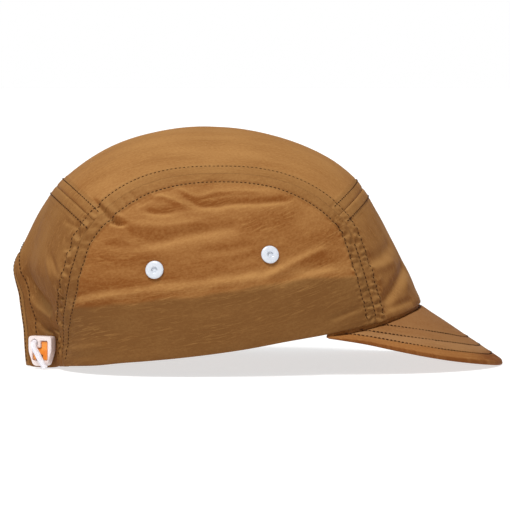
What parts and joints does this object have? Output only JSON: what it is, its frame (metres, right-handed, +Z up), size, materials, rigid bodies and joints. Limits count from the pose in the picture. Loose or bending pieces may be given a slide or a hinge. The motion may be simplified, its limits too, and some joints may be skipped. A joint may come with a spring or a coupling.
{
  "type": "running cap",
  "caption": "Light five-panel running cap in crinkled nylon with a short curved peak, sweatband, side snaps and a rear opening closed by a cord with a toggle",
  "frame": {"origin": "on the floor under the middle of the cap's bounding box, with the cap resting on the back of its lower edge and the tip of its peak", "axes": "+Z up, +Y towards the back of the head, so the peak points to -Y, and +X towards the wearer's left; the cap is symmetric about X = 0 but for the toggle and cord"},
  "size_m": [0.159, 0.2364, 0.115],
  "materials": {
    "crown_nylon": "crinkled, slightly shiny, thin enough to let light through",
    "peak_nylon": "the same nylon, smooth over a stiff board",
    "band_knit": "matt knit",
    "white_lacquer": "glossy lacquer",
    "toggle_shell": "frosted, translucent",
    "toggle_lock": "glossy",
    "cord_elastic": "fine round braid"
  },
  "bodies": {
    "root": {"top_panel": "crown_nylon", "front_panel": "crown_nylon", "back_panel": "crown_nylon", "side_panel_right": "crown_nylon", "side_panel_left": "crown_nylon", "opening_hem": "crown_nylon", "peak": "peak_nylon", "sweatband": "band_knit", "snap_right_rear": "white_lacquer", "snap_right_front": "white_lacquer", "snap_left_rear": "white_lacquer", "snap_left_front": "white_lacquer", "toggle_body": "toggle_shell", "toggle_lock": "toggle_lock", "closure_cord": "cord_elastic"}
  },
  "joints": []
}
